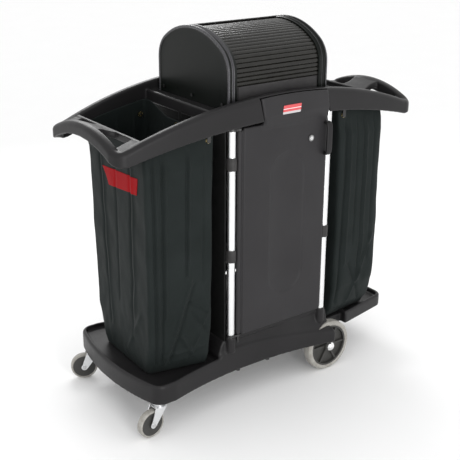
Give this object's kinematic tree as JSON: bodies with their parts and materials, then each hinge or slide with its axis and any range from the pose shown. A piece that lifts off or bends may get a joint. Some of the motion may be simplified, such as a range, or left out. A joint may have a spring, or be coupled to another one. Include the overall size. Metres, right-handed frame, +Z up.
{
  "type": "housekeeping cart",
  "caption": "Housekeeping cart with a locking cabinet under a roll-top hood, a hanging bag at each end, arched push handles and a wheeled base.",
  "frame": {"origin": "on the floor, under the middle of the cart's overall box", "axes": "+X along the length towards the fixed-wheel end, -Y towards the front door, +Z up"},
  "size_m": [1.314, 0.5644, 1.359],
  "materials": {
    "structural_plastic": "moulded black structural foam with a fine grain",
    "roll_top_plastic": "satin black extruded slats",
    "panel_plastic": "smooth matt black",
    "hub_plastic": "black moulded nylon",
    "tyre_grey": "light grey non-marking rubber",
    "zinc_steel": "bright zinc plate",
    "zinc_fork": "bright zinc plate",
    "bright_metal": "polished",
    "aluminium": "bright anodised",
    "bag_fabric": "coated woven cloth",
    "brass": "polished",
    "badge": "printed"
  },
  "bodies": {
    "root": {"base_platform": "structural_plastic", "end_tray": "structural_plastic", "axle_brackets": "zinc_steel", "main_axle": "zinc_steel", "wheel_caps": "bright_metal", "front_caster_plate": "zinc_fork", "rear_caster_plate": "zinc_fork", "front_left_upright": "aluminium", "front_right_upright": "aluminium", "rear_left_upright": "aluminium", "rear_right_upright": "aluminium", "lower_shelf_clips": "structural_plastic", "upper_shelf_clips": "structural_plastic", "lower_shelf": "panel_plastic", "upper_shelf": "panel_plastic", "left_side_panel": "panel_plastic", "right_side_panel": "panel_plastic", "top_frame": "structural_plastic", "hood_left_end": "structural_plastic", "hood_right_end": "structural_plastic", "hood_rear_panel": "structural_plastic", "front_door_pin": "zinc_steel", "rear_door_pin": "zinc_steel", "hinge_brackets": "zinc_steel", "lock_keepers": "zinc_steel", "left_bag": "bag_fabric", "right_bag": "bag_fabric", "bag_grommets": "brass", "bag_pins": "zinc_steel", "caster_screws": "zinc_steel", "frame_bolts": "zinc_steel", "hood_screws": "zinc_steel"},
    "front_door": {"front_door": "structural_plastic", "front_door_handle": "structural_plastic", "front_lock_shell": "zinc_steel", "door_badge": "badge"},
    "rear_door": {"rear_door": "structural_plastic", "rear_door_handle": "structural_plastic", "rear_lock_shell": "zinc_steel"},
    "front_lock": {"front_lock_cam": "bright_metal"},
    "rear_lock": {"rear_lock_cam": "bright_metal"},
    "front_caster": {"front_caster_fork": "zinc_fork", "front_caster_bolt": "zinc_steel"},
    "rear_caster": {"rear_caster_fork": "zinc_fork", "rear_caster_bolt": "zinc_steel"},
    "front_caster_wheel": {"front_caster_hub": "hub_plastic", "front_caster_tyre": "tyre_grey"},
    "rear_caster_wheel": {"rear_caster_hub": "hub_plastic", "rear_caster_tyre": "tyre_grey"},
    "front_wheel": {"front_wheel_hub": "hub_plastic", "front_wheel_tyre": "tyre_grey"},
    "rear_wheel": {"rear_wheel_hub": "hub_plastic", "rear_wheel_tyre": "tyre_grey"},
    "roll_top_bar": {"roll_top_bar": "roll_top_plastic"},
    "roll_top_1": {"roll_top_1": "roll_top_plastic"},
    "roll_top_2": {"roll_top_2": "roll_top_plastic"},
    "roll_top_3": {"roll_top_3": "roll_top_plastic"},
    "roll_top_4": {"roll_top_4": "roll_top_plastic"},
    "roll_top_5": {"roll_top_5": "roll_top_plastic"},
    "roll_top_6": {"roll_top_6": "roll_top_plastic"}
  },
  "joints": [
    {"name": "front_door_hinge", "type": "hinge", "parent": "root", "child": "front_door", "pos_m": [-0.19, -0.243, 0.281], "axis": [0, 0, -1], "range_deg": [0, 105]},
    {"name": "rear_door_hinge", "type": "hinge", "parent": "root", "child": "rear_door", "pos_m": [0.19, 0.243, 0.281], "axis": [0, 0, -1], "range_deg": [0, 105]},
    {"name": "front_lock_turn", "type": "hinge", "parent": "front_door", "child": "front_lock", "pos_m": [0.119, -0.24, 0.969], "axis": [0, 1, 0], "range_deg": [0, 90]},
    {"name": "rear_lock_turn", "type": "hinge", "parent": "rear_door", "child": "rear_lock", "pos_m": [-0.119, 0.24, 0.969], "axis": [0, -1, 0], "range_deg": [0, 90]},
    {"name": "front_caster_swivel", "type": "hinge", "parent": "root", "child": "front_caster", "pos_m": [-0.526, -0.238, 0.107], "axis": [0, 0, 1], "continuous": true},
    {"name": "front_caster_roll", "type": "hinge", "parent": "front_caster", "child": "front_caster_wheel", "pos_m": [-0.56379, -0.24197, 0.051], "axis": [-0.1045, 0.9945, 0], "continuous": true},
    {"name": "front_wheel_roll", "type": "hinge", "parent": "root", "child": "front_wheel", "pos_m": [0.255, -0.233, 0.1016], "axis": [0, 1, 0], "continuous": true},
    {"name": "rear_caster_swivel", "type": "hinge", "parent": "root", "child": "rear_caster", "pos_m": [-0.526, 0.238, 0.107], "axis": [0, 0, 1], "continuous": true},
    {"name": "rear_caster_roll", "type": "hinge", "parent": "rear_caster", "child": "rear_caster_wheel", "pos_m": [-0.56071, 0.25346, 0.051], "axis": [0.4067, 0.9135, 0], "continuous": true},
    {"name": "rear_wheel_roll", "type": "hinge", "parent": "root", "child": "rear_wheel", "pos_m": [0.255, 0.233, 0.1016], "axis": [0, 1, 0], "continuous": true},
    {"name": "roll_top", "type": "hinge", "parent": "root", "child": "roll_top_3", "pos_m": [0, -0.00536, 1.05895], "axis": [-1, 0, 0], "range_deg": [0, 55.5]},
    {"name": "roll_top_joint_1", "type": "hinge", "parent": "roll_top_1", "child": "roll_top_bar", "pos_m": [0, -0.201, 1.178], "axis": [-1, 0, 0], "range_deg": [-13.1, 1]},
    {"name": "roll_top_joint_2", "type": "hinge", "parent": "roll_top_2", "child": "roll_top_1", "pos_m": [0, -0.1995, 1.23791], "axis": [-1, 0, 0], "range_deg": [-1, 18.4]},
    {"name": "roll_top_joint_3", "type": "hinge", "parent": "roll_top_3", "child": "roll_top_2", "pos_m": [0, -0.16923, 1.28827], "axis": [-1, 0, 0], "range_deg": [-1, 17.4]},
    {"name": "roll_top_joint_4", "type": "hinge", "parent": "roll_top_3", "child": "roll_top_4", "pos_m": [0, -0.11762, 1.31863], "axis": [-1, 0, 0], "range_deg": [-1, 8.1]},
    {"name": "roll_top_joint_5", "type": "hinge", "parent": "roll_top_4", "child": "roll_top_5", "pos_m": [0, -0.06076, 1.33746], "axis": [-1, 0, 0], "range_deg": [-1, 27.1]},
    {"name": "roll_top_joint_6", "type": "hinge", "parent": "roll_top_5", "child": "roll_top_6", "pos_m": [0, -0.00123, 1.344], "axis": [-1, 0, 0], "range_deg": [-5.5, 1]}
  ],
  "couplings": [
    {"joint": "roll_top_joint_1", "follows": "roll_top", "ratio": -0.21742},
    {"joint": "roll_top_joint_2", "follows": "roll_top", "ratio": 0.31359},
    {"joint": "roll_top_joint_3", "follows": "roll_top", "ratio": 0.29486},
    {"joint": "roll_top_joint_4", "follows": "roll_top", "ratio": 0.12739},
    {"joint": "roll_top_joint_5", "follows": "roll_top", "ratio": 0.46988},
    {"joint": "roll_top_joint_6", "follows": "roll_top", "ratio": -0.08109}
  ]
}
